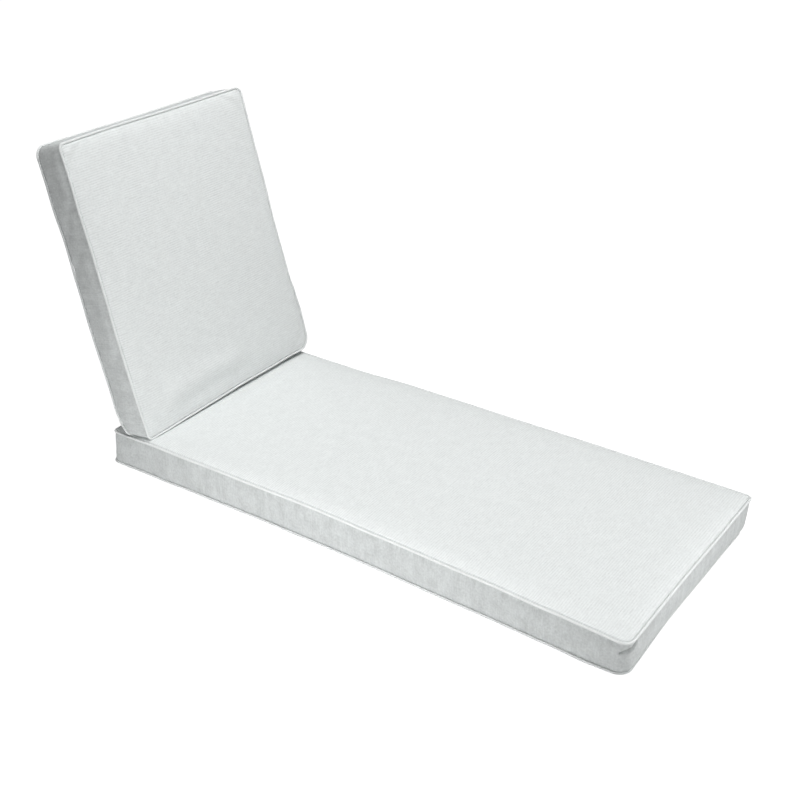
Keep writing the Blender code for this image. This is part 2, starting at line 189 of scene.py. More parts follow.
BACK_REAR_SEAM = Seam(
    near_low=Corner(radius=14, out_x=12, out_y=-8.5, up=27, tuck=0),
    far_low=Corner(radius=20, out_x=9, out_y=-10, up=26, tuck=0),
    far_high=Corner(radius=22, out_x=-1, out_y=0, up=0, tuck=0),
    near_high=Corner(radius=24, out_x=-1, out_y=0, up=0, tuck=0),
    low=(Wave(0.06, -10.2, 27, 0, 1.5), Wave(0.25, -10.5, 27, 0, 1.5), Wave(0.75, -10.5, 27, 0, 1.5)),
    far=(
        Wave(0.05, 6, 10, 0, 0),
        Wave(0.11, 4, 1, 0, 0),
        Wave(0.20, 2, 0, 0, 1),
        Wave(0.50, -2, 0, 0, 1),
        Wave(0.80, -1, 0, 0, 1),
    ),
    high=(Wave(0.50, -1, 0, 0, 0),),
    near=(
        Wave(0.05, 6, 9, 0, 0),
        Wave(0.10, 3, 1, 0, 0),
        Wave(0.16, 1, 0, 0, 0),
        Wave(0.38, 2.4, 0, 0, 0),
        Wave(0.55, 0, 0, 0, 0),
        Wave(0.70, -2.5, 0, 0, 0),
        Wave(0.80, 0, 0, 0, 0),
        Wave(0.92, -1.5, 0, 0, 0),
    ),
    reach=0.018,
)
print("waves in the seat's top seam:", len(SEAT_TOP_SEAM.near), "near,", len(SEAT_TOP_SEAM.far), "far")

# %% [markdown]
# ## From a table to a line
#
# Between two rows of a table the seam eases over instead of turning sharply, so a few rows make a smooth
# line. `outline` gives the plain rounded rectangle, and `straying` what is added to it. Both take a whole
# array of stations at once, from 0 at the low or near end of a side to 1 at its other end.

# %% Measures of the two cushions
SEAM_SPACING = 0.080
SEAT_WIDTH, SEAT_LENGTH = 0.584, 1.303
BACK_WIDTH, BACK_HEIGHT = 0.568, 0.671
PIPING_RADIUS = 0.0026
SEAT_FLOOR_SEAM = 0.0036
HALF_ARC = 1.0 - math.cos(math.radians(45.0))
SMALLEST_RADIUS = 0.001
OUTWARD = {"low": (0, -1), "high": (0, 1), "near": (-1, 0), "far": (1, 0)}
ENDS = {
    "low": (("near_low", -1, -1), ("far_low", 1, -1)),
    "high": (("near_high", -1, 1), ("far_high", 1, 1)),
    "near": (("near_low", -1, -1), ("near_high", -1, 1)),
    "far": (("far_low", 1, -1), ("far_high", 1, 1)),
}
Row = namedtuple("Row", "share inset above tuck belly")
Cushion = namedtuple("Cushion", "name width length bottom top roll rise flat_base")
SEAT = Cushion("seat", SEAT_WIDTH, SEAT_LENGTH, SEAT_BOTTOM_SEAM, SEAT_TOP_SEAM, 0.0038, 1.0, True)
BACK = Cushion("back", BACK_WIDTH, BACK_HEIGHT, BACK_REAR_SEAM, BACK_FRONT_SEAM, 0.0022, 0.8, False)
for cushion in (SEAT, BACK):
    print(cushion.name, round(cushion.width / MM), "by", round(cushion.length / MM), "mm")


# %% Seam functions
def corner_row(corner, sign_x, sign_y):
    shift = (sign_x * corner.out_x, sign_y * corner.out_y, corner.up)
    return (*shift, -sign_x * corner.tuck, -sign_y * corner.tuck, 0, 0)


def wave_row(wave, side):
    x, y = OUTWARD[side]
    shift = (x * wave.out, y * wave.out, wave.up)
    return (*shift, -x * wave.tuck, -y * wave.tuck, x * wave.belly, y * wave.belly)


def straying(seam, side, stations):
    """Shift, tuck and belly of a side's seam at each station, in metres."""
    first, last = ENDS[side]
    rows = [(0.0, *corner_row(getattr(seam, first[0]), *first[1:]))]
    rows += [(wave.station, *wave_row(wave, side)) for wave in getattr(seam, side)]
    rows += [(1.0, *corner_row(getattr(seam, last[0]), *last[1:]))]
    rows = np.array(rows)
    k = np.clip(np.searchsorted(rows[:, 0], stations, side="left") - 1, 0, len(rows) - 2)
    t = (stations - rows[k, 0]) / (rows[k + 1, 0] - rows[k, 0])
    t = (t * t * (3.0 - 2.0 * t))[:, None]
    values = (rows[k, 1:] * (1.0 - t) + rows[k + 1, 1:] * t) * MM
    zero = np.zeros((len(stations), 1))
    tuck = np.hstack([values[:, 3:5], zero])
    belly = np.hstack([values[:, 5:7], zero])
    return values[:, 0:3], tuck, belly


def corner_dip(along, half, radius):
    past = np.clip(along - (half - radius), 0.0, None)
    return radius - np.sqrt(np.clip(radius ** 2 - past ** 2, 0.0, None))


def outline(cushion, seam, side, stations, inset):
    """Points on the rounded rectangle, from the middle of one corner's arc to the next one's."""
    half_width = cushion.width / 2.0 - inset
    half_length = cushion.length / 2.0 - inset
    radii = [max(getattr(seam, end[0]).radius * MM - inset, SMALLEST_RADIUS) for end in ENDS[side]]
    x_sign, y_sign = OUTWARD[side]
    half = half_width if x_sign == 0 else half_length
    start = -half + HALF_ARC * radii[0]
    end = half - HALF_ARC * radii[1]
    along = start + (end - start) * stations
    dip = np.maximum(corner_dip(-along, half, radii[0]), corner_dip(along, half, radii[1]))
    points = np.zeros((len(stations), 3))
    if x_sign == 0:
        points[:, 0] = along
        points[:, 1] = cushion.length / 2.0 + y_sign * (half_length - dip)
    else:
        points[:, 0] = x_sign * (half_width - dip)
        points[:, 1] = cushion.length / 2.0 + along
    return points


def rim(cushion, row, side, stations):
    """Base line and straying of one row of the band, from the bottom seam (share 0) to the top (share 1)."""
    bottom = outline(cushion, cushion.bottom, side, stations, row.inset * MM)
    top = outline(cushion, cushion.top, side, stations, row.inset * MM)
    base = bottom * (1.0 - row.share) + top * row.share
    base[:, 2] = SEAM_SPACING * row.share + row.above * MM
    low_shift, low_tuck, low_belly = straying(cushion.bottom, side, stations)
    top_shift, _, top_belly = straying(cushion.top, side, stations)
    shift = low_shift * (1.0 - row.share) + top_shift * row.share
    belly = low_belly * (1.0 - row.share) + top_belly * row.share
    return base, shift + low_tuck * row.tuck + belly * row.belly


print("seam functions ready for", SEAT.name, "and", BACK.name)

# %% [markdown]
# ## A net of quads for each cushion
#
# Cloth wants an even net whose lines follow the seams, so that it can crown, pucker and take a weave.
# A voxel remesh would lose the seams, and a plain cube would have no lines near them. So the net is started
# as a flat grid and extruded upwards once for each row of the band: that gives a closed block with a full
# grid above and below and only the outer ring in between. The grid lines are then moved to where they are
# needed, close together at the seams and wide apart in the middle.

# %% Lines of the net
EDGE_LINES = np.array((0.0, 1.2, 2.6, 4.5, 7.5, 12.0, 18.0, 26.0, 36.0)) * MM
MIDDLE_SPACING = 0.0105
SEAM_INSET = 3.1
BAND_ROWS = (
    Row(0.00, SEAM_INSET, 0.0, 1.00, 0.0),
    Row(0.00, 2.2, 2.3, 0.97, 0.0),
    Row(0.00, 0.9, 3.6, 0.90, 0.0),
    Row(0.00, 0.3, 5.6, 0.75, 0.1),
    Row(0.11, 0.1, 0.0, 0.30, 0.3),
    Row(0.20, 0.0, 0.0, 0.10, 0.6),
    Row(0.32, 0.0, 0.0, 0.00, 0.9),
    Row(0.44, 0.0, 0.0, 0.00, 1.0),
    Row(0.56, 0.0, 0.0, 0.00, 1.0),
    Row(0.68, 0.0, 0.0, 0.00, 0.9),
    Row(0.80, 0.0, 0.0, 0.00, 0.6),
    Row(0.89, 0.1, 0.0, 0.00, 0.3),
    Row(1.00, 0.3, -5.6, 0.00, 0.1),
    Row(1.00, 0.9, -3.6, 0.00, 0.0),
    Row(1.00, 2.2, -2.3, 0.00, 0.0),
    Row(1.00, SEAM_INSET, 0.0, 0.00, 0.0),
)


def net_lines(length):
    """Places of the net's lines across a side, as shares of its length."""
    last = EDGE_LINES[-1]
    count = round((length - 2.0 * last) / MIDDLE_SPACING)
    middle = np.linspace(last, length - last, count + 1)[1:-1]
    return np.concatenate([EDGE_LINES, middle, length - EDGE_LINES[::-1]]) / length


def net_block(name, across, along, rows):
    """A closed block of across by along by rows cells, whose points stand on whole numbers."""
    bpy.ops.object.select_all(action="DESELECT")
    bpy.ops.mesh.primitive_grid_add(x_subdivisions=across, y_subdivisions=along, size=1.0)
    block = bpy.context.object
    block.name = block.data.name = name
    bpy.ops.object.mode_set(mode="EDIT")
    bpy.ops.mesh.select_all(action="SELECT")
    for _ in range(rows):
        bpy.ops.mesh.extrude_region_move(TRANSFORM_OT_translate={"value": (0.0, 0.0, 1.0)})
    bpy.ops.mesh.select_all(action="SELECT")
    bpy.ops.mesh.normals_make_consistent(inside=False)
    bpy.ops.object.mode_set(mode="OBJECT")
    return block


print("net of the seat", len(net_lines(SEAT_WIDTH)), "by", len(net_lines(SEAT_LENGTH)), "lines")

# %% [markdown]
# ## Crown and shoulder
#
# Filled cloth rises fast beside a seam, where it is held down, and slowly towards the middle. Two falling
# exponentials say exactly that, and a third, very short one makes the small roll right at the piping.
# Underneath, the seat lies flat on whatever carries it, and the back presses the seat's head end flat.

# %% Panel heights
ROLL_REACH = 0.0016
SHOULDER_RISE, SHOULDER_REACH = 0.0010, 0.012
CROWN_RISE, CROWN_REACH = 0.0035, 0.080
BASE_FALL, BASE_REACH = 0.012, 0.010
PRESSED_RISE = 0.0030
PRESS_STATIONS = (0.0, 0.58, 0.78, 0.89, 1.0)
PRESS_AMOUNTS = (0.0, 0.0, 0.7, 1.0, 1.0)


def fade(distance, reach):
    return np.exp(-distance / reach)


def inward(share, size):
    """Distance to the nearer end of a side, for a place given as a share of it."""
    return np.minimum(share, 1.0 - share) * size


def panel_rise(cushion, u, v):
    across = inward(u, cushion.width)
    along = inward(v, cushion.length)
    parts = (
        (cushion.roll, ROLL_REACH),
        (SHOULDER_RISE, SHOULDER_REACH),
        (CROWN_RISE * cushion.rise, CROWN_REACH),
    )
    return sum(rise * (1.0 - fade(across, reach)) * (1.0 - fade(along, reach)) for rise, reach in parts)


def pressed(cushion, rise, v):
    """The seat's crown, flattened where the back stands on it."""
    if not cushion.flat_base:
        return rise
    amount = np.interp(v, PRESS_STATIONS, PRESS_AMOUNTS)
    return rise + (np.minimum(rise, PRESSED_RISE) - rise) * amount


print("the seat's crown rises", round(float(panel_rise(SEAT, 0.5, 0.5)) / MM, 1), "mm in its middle")

# %% [markdown]
# ## From four lines to a sheet
#
# Each row of the band is a ring of four side lines, and a sheet has to fill the ring. A Coons patch does
# it: it blends the two pairs of opposite lines and takes away the corners that were counted twice. Only the
# plain outline is blended like that. The straying is added on top and fades inwards, because a seam that
# wanders by some millimetres doesn't move the middle of a panel.

# %% Points of one cushion
def sheet(cushion, row, u, v):
    """A full grid of points that fills in one row's ring, with the straying fading inwards."""
    sides = {side: rim(cushion, row, side, u if side in ("low", "high") else v) for side in OUTWARD}
    U, V = u[:, None, None], v[None, :, None]
    low, high = (sides[side][0][:, None, :] for side in ("low", "high"))
    near, far = (sides[side][0][None, :, :] for side in ("near", "far"))
    low_corners = low[:1] * (1 - U) * (1 - V) + low[-1:] * U * (1 - V)
    corners = low_corners + high[:1] * (1 - U) * V + high[-1:] * U * V
    points = low * (1 - V) + high * V + near * (1 - U) + far * U - corners
    reach = cushion.bottom.reach + (cushion.top.reach - cushion.bottom.reach) * row.share
    across = {"near": fade(U * cushion.width, reach), "far": fade((1 - U) * cushion.width, reach)}
    along = {"low": fade(V * cushion.length, reach), "high": fade((1 - V) * cushion.length, reach)}
    for side, weight in along.items():
        stray = sides[side][1][:, None, :]
        points = points + weight * (stray - stray[:1] * across["near"] - stray[-1:] * across["far"])
    for side, weight in across.items():
        points = points + weight * sides[side][1][None, :, :]
    return points


def cushion_points(cushion, cells, u, v):
    """The place of every point of the block, in the cushion's own frame with its lower seam at height 0."""
    i, j, k = cells.T
    points = np.zeros((len(cells), 3))
    last = len(BAND_ROWS) - 1
    U, V = u[:, None], v[None, :]
    edge = np.minimum(inward(U, cushion.width), inward(V, cushion.length))
    for number, row in enumerate(BAND_ROWS):
        grid = sheet(cushion, row, u, v)
        if number == last:
            grid[..., 2] += pressed(cushion, panel_rise(cushion, U, V), V)
        elif number == 0 and cushion.flat_base:
            fallen = grid[..., 2] - BASE_FALL * (1.0 - fade(edge, BASE_REACH))
            grid[..., 2] = np.maximum(fallen, -SEAT_FLOOR_SEAM)
        elif number == 0:
            grid[..., 2] -= panel_rise(cushion, U, V)
        mine = k == number
        points[mine] = grid[i[mine], j[mine]]
    return points


print("each of the", len(BAND_ROWS), "rows of the band gets a sheet")

# %% [markdown]
# ## Where each cushion stands
#
# Both cushions are drawn lying flat and are then put in place by one matrix each. The seat is slid until the
# box of its bottom seam has the same middle as the box of the bottom piping's solid. The back is turned up
# until it stands, less its lean, and is put on the seat's head end. The same matrices later bring folds and
# pipings into place.

# %% Places
BACK_SHIFT_X, BACK_SEAM_Y, BACK_SEAM_Z = -0.004, 1.1954, 0.0931
BACK_LEAN = math.radians(15.5)
PIPING_AT_BOTTOM = Row(0.0, 0.0, 0.0, 1.0, 0.0)
PIPING_AT_TOP = Row(1.0, 0.0, 0.0, 0.0, 0.0)
FINE_STATIONS = 400
PATH_SPACING = 0.005


def seam_loop(cushion, row, spacing):
    """Points once round a seam at an even spacing, counter-clockwise seen from above the cushion."""
    fine = np.linspace(0.0, 1.0, FINE_STATIONS)
    legs = []
    for side, backwards in (("low", False), ("far", False), ("high", True), ("near", True)):
        base, stray = rim(cushion, row, side, fine)
        leg = base + stray
        legs.append(leg[::-1][:-1] if backwards else leg[:-1])
    loop = np.vstack(legs)
    steps = np.linalg.norm(np.roll(loop, -1, axis=0) - loop, axis=1)
    run = np.concatenate([[0.0], np.cumsum(steps)])
    closed = np.vstack([loop, loop[:1]])
    wanted = np.linspace(0.0, run[-1], round(run[-1] / spacing) + 1)[:-1]
    return np.column_stack([np.interp(wanted, run, closed[:, axis]) for axis in range(3)]), run[-1]


def middle(low, high):
    return (np.array(low) + np.array(high)) / 2.0


seat_path, seat_run = seam_loop(SEAT, PIPING_AT_BOTTOM, PATH_SPACING)
solid_middle = middle(*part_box("seat_bottom_piping"))
path_middle = middle(seat_path.min(axis=0), seat_path.max(axis=0))
seat_place = Matrix.Translation((*(solid_middle - path_middle)[:2], SEAT_FLOOR_SEAM))
foot_corner = Vector((seat_place.translation.x, seat_place.translation.y, 0.0))
rearward = Vector((0.0, math.cos(BACK_LEAN), -math.sin(BACK_LEAN)))
back_place = Matrix.Translation(
    foot_corner + Vector((BACK_SHIFT_X, BACK_SEAM_Y, BACK_SEAM_Z)) + rearward * SEAM_SPACING
) @ Matrix.Rotation(math.radians(90.0) - BACK_LEAN, 4, "X")
PLACES = {"seat": seat_place, "back": back_place}
print("seat moved by", [round(c, 5) for c in seat_place.translation])
print("its bottom seam is", round(seat_run, 3), "m long")


# %% Build the two nets
def read_points(mesh):
    flat = np.empty(len(mesh.vertices) * 3, dtype=np.float32)
    mesh.vertices.foreach_get("co", flat)
    return flat.reshape(-1, 3)


def write_points(mesh, points):
    mesh.vertices.foreach_set("co", points.astype(np.float32).ravel())
    mesh.update()


def placed(points, cushion):
    turn = np.array(PLACES[cushion.name])
    return points @ turn[:3, :3].T + turn[:3, 3]


def build_cushion(cushion):
    u, v = net_lines(cushion.width), net_lines(cushion.length)
    rows = len(BAND_ROWS) - 1
    piece = net_block(cushion.name + "_cushion_cloth", len(u) - 1, len(v) - 1, rows)
    raw = read_points(piece.data).astype(float)
    cells = np.column_stack([
        np.rint((raw[:, 0] + 0.5) * (len(u) - 1)),
        np.rint((raw[:, 1] + 0.5) * (len(v) - 1)),
        np.rint(raw[:, 2]),
    ]).astype(int)
    write_points(piece.data, placed(cushion_points(cushion, cells, u, v), cushion))
    print(piece.name, len(piece.data.vertices), "points")
    return piece, cells, u, v


seat_cloth, seat_cells, seat_u, seat_v = build_cushion(SEAT)
back_cloth, back_cells, back_u, back_v = build_cushion(BACK)

# %% [markdown]
# ## The cloth's own measure
#
# A weave has to follow the cloth and not the room, so every cushion carries a UV map in metres. U runs along
# the ribs of the cloth and V across them. On the panels the ribs lie across the cushion's width. The band is
# cut so that its ribs stand upright, so there V is the way round the cushion and U is the height.
# The band also gets a material number of its own, because its heathered side of the cloth shows more, and its
# darker colour there is painted shade for its upright sides.

# %% Lay the cloth's measure on the net
def lay_measure(piece, cells, cushion, u, v):
    """A UV map in metres, with V across the ribs."""
    mesh = piece.data
    mesh.uv_layers.remove(mesh.uv_layers.active)
    layer = mesh.uv_layers.new(name="cloth")
    corners = np.empty(len(mesh.loops), dtype=int)
    mesh.loops.foreach_get("vertex_index", corners)
    quads = corners.reshape(-1, 4)
    i, j, k = (cells[quads, axis] for axis in range(3))
    width, length = cushion.width, cushion.length
    values = np.dstack([u[i] * width, v[j] * length])
    height = np.array([row.share * SEAM_SPACING + row.above * MM for row in BAND_ROWS])[k]
    on_band = k.min(axis=1) != k.max(axis=1)
    runs = {
        "low": (j.max(axis=1) == 0, u[i] * width),
        "far": (i.min(axis=1) == len(u) - 1, width + v[j] * length),
        "high": (j.min(axis=1) == len(v) - 1, width + length + (1.0 - u[i]) * width),
        "near": (i.max(axis=1) == 0, 2.0 * width + length + (1.0 - v[j]) * length),
    }
    for on_side, run in runs.values():
        mine = on_side & on_band
        values[mine] = np.dstack([height[mine], run[mine]])
    layer.data.foreach_set("uv", values.astype(np.float32).ravel())
    mesh.polygons.foreach_set("material_index", on_band.astype(int))


for piece, cells, cushion, u, v in (
    (seat_cloth, seat_cells, SEAT, seat_u, seat_v),
    (back_cloth, back_cells, BACK, back_u, back_v),
):
    lay_measure(piece, cells, cushion, u, v)
    print(piece.name, "carries", [layer.name for layer in piece.data.uv_layers])

# %% [markdown]
# ## Blow the cloth up a little
#
# A filled cushion is cloth under an even push from inside, held by its seams. That is what a cloth
# simulation with pressure does, so the seams are pinned and the panels and bands are blown out for a few
# frames. The pressure is strong, and some points would swell by centimetres, which is too far. So every move
# is squeezed under a small cap, and the main shape still comes from the tables.
# The cloth is cut a little larger than the place it has, as real covers are, which brings the small tucks
# along the seams. The cap also makes the cushion keep the size of its solid.

# %% Cloth simulation
SIM_FRAMES = 20
SIM_PRESSURE = 4.0
SIM_EASE = 0.006
SIM_QUALITY = 6
SIM_CAP = 0.0025
CLOTH_MASS = 0.3
STRETCH_STIFFNESS, SHEAR_STIFFNESS, BENDING_STIFFNESS = 25.0, 10.0, 1.0
PINNED_NEAR_SEAM = 0.003
PINNED_ROWS = 2
SMALLEST_MOVE = 1e-9


def inflate(piece, cells, cushion, u, v):
    start = read_points(piece.data)
    i, j, k = cells.T
    last = len(BAND_ROWS) - 1
    edge = np.minimum(inward(u[i], cushion.width), inward(v[j], cushion.length))
    held = ((k <= PINNED_ROWS) | (k >= last - PINNED_ROWS)) & (edge < PINNED_NEAR_SEAM)
    if cushion.flat_base:
        held |= k == 0
    group = piece.vertex_groups.new(name="held")
    group.add([int(n) for n in np.flatnonzero(held)], 1.0, "REPLACE")
    modifier = piece.modifiers.new("Cloth", "CLOTH")
    cloth = modifier.settings
    cloth.quality = SIM_QUALITY
    cloth.mass = CLOTH_MASS
    cloth.tension_stiffness = cloth.compression_stiffness = STRETCH_STIFFNESS
    cloth.shear_stiffness = SHEAR_STIFFNESS
    cloth.bending_stiffness = BENDING_STIFFNESS
    cloth.use_pressure = True
    cloth.uniform_pressure_force = SIM_PRESSURE
    cloth.shrink_min = -SIM_EASE
    cloth.vertex_group_mass = "held"
    cloth.pin_stiffness = 1.0
    cloth.effector_weights.gravity = 0.0
    modifier.point_cache.frame_start = 1
    modifier.point_cache.frame_end = SIM_FRAMES
    for number in range(1, SIM_FRAMES + 1):
        scene.frame_set(number)
    bpy.context.view_layer.objects.active = piece
    bpy.ops.object.modifier_apply(modifier="Cloth")
    moved = read_points(piece.data) - start
    distance = np.linalg.norm(moved, axis=1)
    kept = SIM_CAP * np.tanh(distance / SIM_CAP) / np.maximum(distance, SMALLEST_MOVE)
    write_points(piece.data, start + moved * kept[:, None])
    piece.vertex_groups.clear()
    print(piece.name, "moved up to", round(float(distance.max()) / MM, 1), "mm, kept under", SIM_CAP / MM)


inflate(seat_cloth, seat_cells, SEAT, seat_u, seat_v)
inflate(back_cloth, back_cells, BACK, back_u, back_v)
scene.frame_set(1)

# %% [markdown]
# ## One finer net for the small shapes
#
# The simulated net is about ten millimetres wide. One round of subdivision halves that and rounds the seams,
# which is fine enough for the soft folds that follow and still light enough to use.

# %% Subdivide
def choose(piece):
    """Select one piece alone, so that an operator works on nothing else."""
    bpy.ops.object.select_all(action="DESELECT")
    piece.select_set(True)
    bpy.context.view_layer.objects.active = piece


def subdivide(piece, levels):
    modifier = piece.modifiers.new("Subdivision", "SUBSURF")
    modifier.levels = modifier.render_levels = levels
    choose(piece)
    bpy.ops.object.modifier_apply(modifier="Subdivision")


for piece in (seat_cloth, back_cloth):
    subdivide(piece, 1)
    print(piece.name, len(piece.data.polygons), "quads")

# %% [markdown]
# ## Folds and swells placed one by one
#
# Each cushion has a few folds of its own: a sharp tuck in the band under the seat's foot corner, slack
# waves along the bands, and swells where the filling is fuller. A simulation doesn't put these where the
# real one has them, so each is a short line in the cushion's own frame with a width and a depth. The cloth
# moves along its own normal, out for a swell and in for a trough, and the effect dies away like a bell
# curve.

# %% Fold tables, in millimetres in the cushion's own frame
Fold = namedtuple("Fold", "points width depth")

CREASE = ((-264, -1, 71), (-272, -1, 68.5), (-280, 0, 65.5), (-289, 4, 61), (-295, 9, 57), (-300, 16, 51.5))
SEAT_FOLDS = (
    Fold(CREASE, 2.3, -7.0),
    Fold(((-268, -1, 63), (-280, 0, 59), (-290, 5, 54), (-296, 10, 50)), 4.5, 2.4),
    Fold(((-300, 30, 5), (-298, 150, 5), (-296, 330, 5)), 2.2, -5.0),
    Fold(((-300, 30, 70), (-299, 200, 72), (-296, 420, 72)), 5.0, -1.8),
    Fold(((-292, 520, 5), (-290, 900, 5)), 2.4, -1.2),
    Fold(((-200, 0, 66), (-120, 0, 63), (-40, 0, 67), (60, 0, 70), (160, 0, 68)), 5.0, -1.2),
    Fold(((-300, 60, 60), (-300, 130, 66)), 9.0, -1.5),
    Fold(((-262, 1197, 84), (-100, 1197, 84), (100, 1197, 84), (262, 1197, 84)), 7.0, -4.0),
)
BACK_FOLDS = (
    Fold(((-190, 66, 84), (-80, 76, 84), (20, 66, 84)), 28.0, 5.2),
    Fold(((-150, 34, 84), (-40, 38, 84), (70, 34, 84)), 15.0, -2.2),
    Fold(((-285, 60, 50), (-285, 620, 50)), 17.0, 2.6),
    Fold(((-285, 240, 60), (-286, 345, 64)), 13.0, 3.2),
    Fold(((-285, 560, 62), (-286, 640, 60)), 12.0, 3.4),
    Fold(((-285, 480, 22), (-285, 545, 62)), 11.0, -3.6),
    Fold(((-285, 400, 10), (-285, 440, 50)), 12.0, -2.4),
    Fold(((-285, 150, 30), (-285, 205, 66)), 12.0, -2.6),
)
print(len(SEAT_FOLDS), "folds on the seat and", len(BACK_FOLDS), "on the back")

# %% [markdown]
# ## A finer net for the crease
#
# The sharp crease is narrower than the net's quads, so it would come out blunt. Cutting the whole net finer
# would cost four times the faces for one tuck. So only the quads close to its line are cut.

# %% Cut the net near the crease
CREASE_REACH = 0.011
CREASE_CUTS = 3
FARTHEST = 1e9


def distance_to_line(points, line):
    """Distance of every point to a chain of straight pieces."""
    best = np.full(len(points), FARTHEST)
    for start, end in zip(line[:-1], line[1:]):
        span = end - start
        share = np.clip((points - start) @ span / (span @ span), 0.0, 1.0)
        best = np.minimum(best, np.linalg.norm(points - start - share[:, None] * span, axis=1))
    return best


def own_points(piece, cushion):
    """The piece's points in the room and in the cushion's own frame."""
    points = read_points(piece.data).astype(float)
    turn = np.array(PLACES[cushion.name])
    return points, (points - turn[:3, 3]) @ turn[:3, :3]


def refine(piece, cushion, line, reach, cuts):
    """Cut the quads near a line into smaller ones."""
    _, own = own_points(piece, cushion)
    near = distance_to_line(own, np.array(line) * MM) < reach
    choose(piece)
    bpy.ops.object.mode_set(mode="EDIT")
    bpy.ops.mesh.select_mode(type="FACE")
    bpy.ops.mesh.select_all(action="DESELECT")
    bpy.ops.object.mode_set(mode="OBJECT")
    chosen = [all(near[n] for n in quad.vertices) for quad in piece.data.polygons]
    piece.data.polygons.foreach_set("select", chosen)
    bpy.ops.object.mode_set(mode="EDIT")
    bpy.ops.mesh.subdivide(number_cuts=cuts, smoothness=0.0)
    bpy.ops.object.mode_set(mode="OBJECT")
    print(piece.name, sum(chosen), "quads cut finer")


refine(seat_cloth, SEAT, CREASE, CREASE_REACH, CREASE_CUTS)


# %% Press the folds in
def press_folds(piece, cushion, folds):
    points, own = own_points(piece, cushion)
    normals = np.empty(len(points) * 3, dtype=np.float32)
    piece.data.vertex_normals.foreach_get("vector", normals)
    normals = normals.reshape(-1, 3)
    for fold in folds:
        away = distance_to_line(own, np.array(fold.points) * MM)
        bell = np.exp(-((away / (fold.width * MM)) ** 2))
        points += normals * (bell * fold.depth * MM)[:, None]
    write_points(piece.data, points)
    print(piece.name, len(folds), "folds")


press_folds(seat_cloth, SEAT, SEAT_FOLDS)
press_folds(back_cloth, BACK, BACK_FOLDS)

# %% [markdown]
# ## Piping
#
# Piping is a cord in a strip of cloth cut on the bias, so that it bends round corners without creasing.
# It is a curve with a round section that runs once round each seam. Its thickness wanders by a few
# hundredths, as a sewn wrap does, and it is turned into a mesh that carries the same measure in metres as
# the cushions.

# %% Make the four pipings
PIPING_STEP = 0.006
PIPING_SIDES = 12
PIPING_SWELL = 0.03
SWELL_WAVES = ((0.083, 0.45), (0.037, 0.35), (0.219, 0.20))
SWELL_OFFSET = 1.7


def wander(run, seed):
    """A slow, uneven wave between about -1 and 1 along a run of seam."""
    return sum(
        share * np.sin(2.0 * math.pi * run / length + seed * SWELL_OFFSET / length)
        for length, share in SWELL_WAVES
    )


def make_piping(name, cushion, row, seed):
    loop, run = seam_loop(cushion, row, PIPING_STEP)
    loop = placed(loop, cushion)
    curve = bpy.data.curves.new(name, "CURVE")
    curve.dimensions = "3D"
    curve.bevel_depth = PIPING_RADIUS
    curve.bevel_resolution = PIPING_SIDES // 2 - 2
    spline = curve.splines.new("POLY")
    spline.points.add(len(loop) - 1)
    spline.points.foreach_set("co", np.column_stack([loop, np.ones(len(loop))]).ravel())
    along = np.arange(len(loop)) * run / len(loop)
    spline.points.foreach_set("radius", 1.0 + PIPING_SWELL * wander(along, seed))
    spline.use_cyclic_u = True
    piece = bpy.data.objects.new(name, curve)
    scene.collection.objects.link(piece)
    choose(piece)
    bpy.ops.object.convert(target="MESH")
    piece = bpy.context.object
    lay_piping_measure(piece, len(loop), run)
    print(name, len(piece.data.polygons), "quads,", round(run, 3), "m long")
    return piece


def lay_piping_measure(piece, rings, run):
    """The same measure in metres, with V along the cord and U round it."""
    mesh = piece.data
    sides = len(mesh.vertices) // rings
    corners = np.empty(len(mesh.loops), dtype=int)
    mesh.loops.foreach_get("vertex_index", corners)
    quads = corners.reshape(-1, 4)
    ring, side = quads // sides, quads % sides
    ring = np.where((ring == 0) & (ring.max(axis=1, keepdims=True) == rings - 1), rings, ring)
    side = np.where((side == 0) & (side.max(axis=1, keepdims=True) == sides - 1), sides, side)
    around = 2.0 * math.pi * PIPING_RADIUS
    values = np.dstack([side / sides * around, ring / rings * run])
    layer = mesh.uv_layers.new(name="cloth")
    layer.data.foreach_set("uv", values.astype(np.float32).ravel())


pipings = {
    "seat_top_piping": make_piping("seat_top_piping_cloth", SEAT, PIPING_AT_TOP, 1),
    "seat_bottom_piping": make_piping("seat_bottom_piping_cloth", SEAT, PIPING_AT_BOTTOM, 2),
    "back_front_piping": make_piping("back_front_piping_cloth", BACK, PIPING_AT_TOP, 3),
    "back_rear_piping": make_piping("back_rear_piping_cloth", BACK, PIPING_AT_BOTTOM, 4),
}

# %% [markdown]
# ## Cloth
#
# The cover is a matt, pale outdoor canvas. Close up it has fine ribs a little over five millimetres apart,
# thinner yarns that cross them, and slubs, which are short thick places in a yarn that show as pale streaks
# along the ribs. The yarn is heathered, a mix of pale and greyer fibres, which clouds the cloth softly.
# An image would tile and blur, so the yarns are worked out from the measure instead: waves for the ribs and
# yarns, and stretched noises for the slubs, the heather and the clouds. The same height drives the bump, so
# light and colour agree.

# %% A small kit for shader nodes
def add_node(tree, kind, **values):
    node = tree.nodes.new(kind)
    for name, value in values.items():
        setattr(node, name, value)
    return node


def feed(tree, socket, value):
    if isinstance(value, bpy.types.NodeSocket):
        tree.links.new(value, socket)
    else:
        socket.default_value = value


def arithmetic(tree, operation, *values):
    node = add_node(tree, "ShaderNodeMath", operation=operation)
    for socket, value in zip(node.inputs, values):
        feed(tree, socket, value)
    return node.outputs[0]


def wave_of(tree, value, pitch):
    """A smooth wave between 0 and 1 that repeats every pitch."""
    turned = arithmetic(tree, "MULTIPLY", value, 2.0 * math.pi / pitch)
    return arithmetic(tree, "MULTIPLY_ADD", arithmetic(tree, "SINE", turned), 0.5, 0.5)


